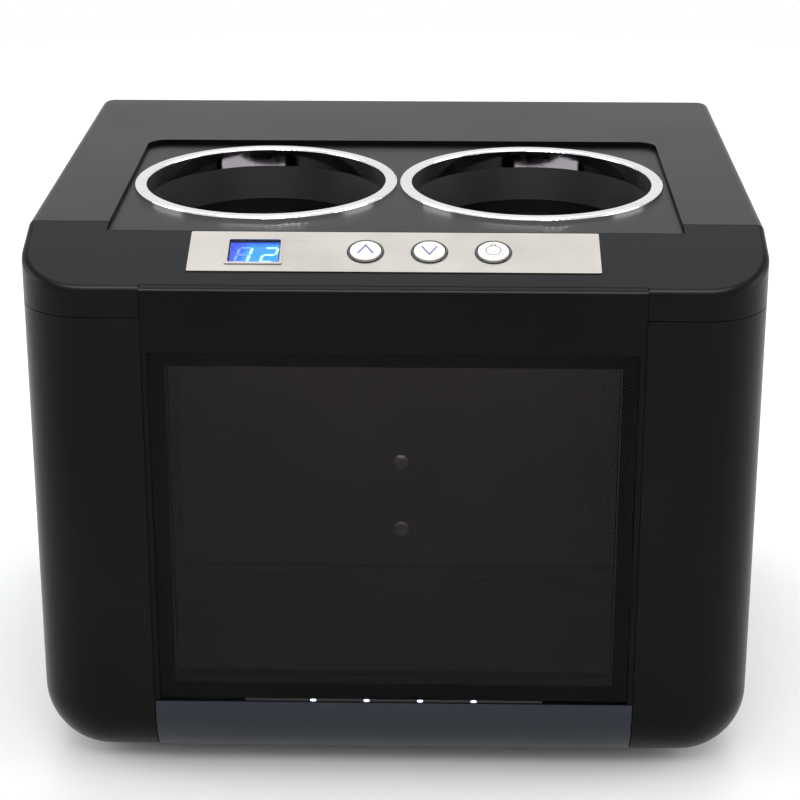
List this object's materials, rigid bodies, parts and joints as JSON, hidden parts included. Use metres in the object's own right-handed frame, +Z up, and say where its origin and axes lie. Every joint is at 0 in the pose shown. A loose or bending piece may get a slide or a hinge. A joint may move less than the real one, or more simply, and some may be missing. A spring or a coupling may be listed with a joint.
{
  "type": "wine cooler",
  "caption": "Countertop thermoelectric wine cooler with open bottle wells in the top, a smoked window, sloped controls and a rear cooling fan.",
  "frame": {"origin": "on the table under the centre of the case", "axes": "+Z up, the window faces -Y, +X to the right of someone facing the window"},
  "size_m": [0.29, 0.245, 0.225],
  "materials": {
    "case_skin": "fine-textured charcoal ABS",
    "panel_black": "black, semi-gloss",
    "chrome": "bright plated",
    "rubber_black": "soft matte",
    "steel": "brushed along its length",
    "button_white": "off-white, satin",
    "button_ring": "black, semi-gloss",
    "display_lens": "tinted, clear",
    "window_glass": "smoked, polished",
    "inner_glass": "clear, polished",
    "lamp_lens": "frosted clear",
    "lamp": "cool white, lit",
    "liner": "grey, satin",
    "foam": "rigid foam, porous",
    "aluminium": "mill finish",
    "cold_wall": "grey coat, satin",
    "ceramic": "white ceramic faces",
    "board": "green solder mask",
    "part_black": "black moulded",
    "capacitor": "sleeved, dark blue",
    "transformer": "yellow tape over ferrite",
    "screw": "zinc plated",
    "foam_gasket": "closed-cell foam",
    "cable": "grey flat cable",
    "pin": "plated",
    "digits": "dark blue face"
  },
  "bodies": {
    "case": {"base_pan": "case_skin", "left_shell": "case_skin", "right_shell": "case_skin", "lower_trim": "panel_black", "rear_cover": "case_skin", "top_cover": "case_skin", "control_housing": "case_skin", "deck_panel": "case_skin", "chrome_ring_left": "chrome", "chrome_ring_right": "chrome", "collar_left": "rubber_black", "collar_right": "rubber_black", "control_plate": "steel", "button_rings": "button_ring", "tact_switches": "part_black", "display_bezel": "steel", "display_lens": "display_lens", "digit_module": "digits", "control_board": "board", "control_board_screws": "screw", "front_bezel": "panel_black", "window_outer": "window_glass", "window_gasket": "rubber_black", "window_inner": "inner_glass", "led_lens": "lamp_lens", "led_lamps": "lamp", "led_board": "board", "inner_liner": "liner", "insulation": "foam", "floor_tray": "liner", "cold_wall": "cold_wall", "cold_wall_screws": "screw", "cooling_block": "aluminium", "peltier_module": "ceramic", "hot_sink": "aluminium", "clamp_screws": "screw", "fan_frame": "part_black", "fan_gasket": "foam_gasket", "fan_screws": "screw", "main_board": "board", "main_board_screws": "screw", "transformer": "transformer", "capacitors": "capacitor", "regulator_sink": "aluminium", "ribbon_cable": "cable", "cable_sockets": "button_white", "power_inlet": "part_black", "inlet_pins": "pin", "feet": "rubber_black", "foot_screws": "screw", "case_screws": "screw"},
    "up_button": {"up_button": "button_white"},
    "down_button": {"down_button": "button_white"},
    "light_button": {"light_button": "button_white"},
    "fan": {"fan_impeller": "part_black"}
  },
  "joints": [
    {"name": "up_press", "type": "slide", "parent": "case", "child": "up_button", "axis": [0, 0.3256, -0.9455], "range_m": [0, 0.0008], "stiffness_N_per_m": 900},
    {"name": "down_press", "type": "slide", "parent": "case", "child": "down_button", "axis": [0, 0.3256, -0.9455], "range_m": [0, 0.0008], "stiffness_N_per_m": 900},
    {"name": "light_press", "type": "slide", "parent": "case", "child": "light_button", "axis": [0, 0.3256, -0.9455], "range_m": [0, 0.0008], "stiffness_N_per_m": 900},
    {"name": "fan_spin", "type": "hinge", "parent": "case", "child": "fan", "pos_m": [0, 0.09, 0.056], "axis": [0, 1, 0], "continuous": true}
  ]
}
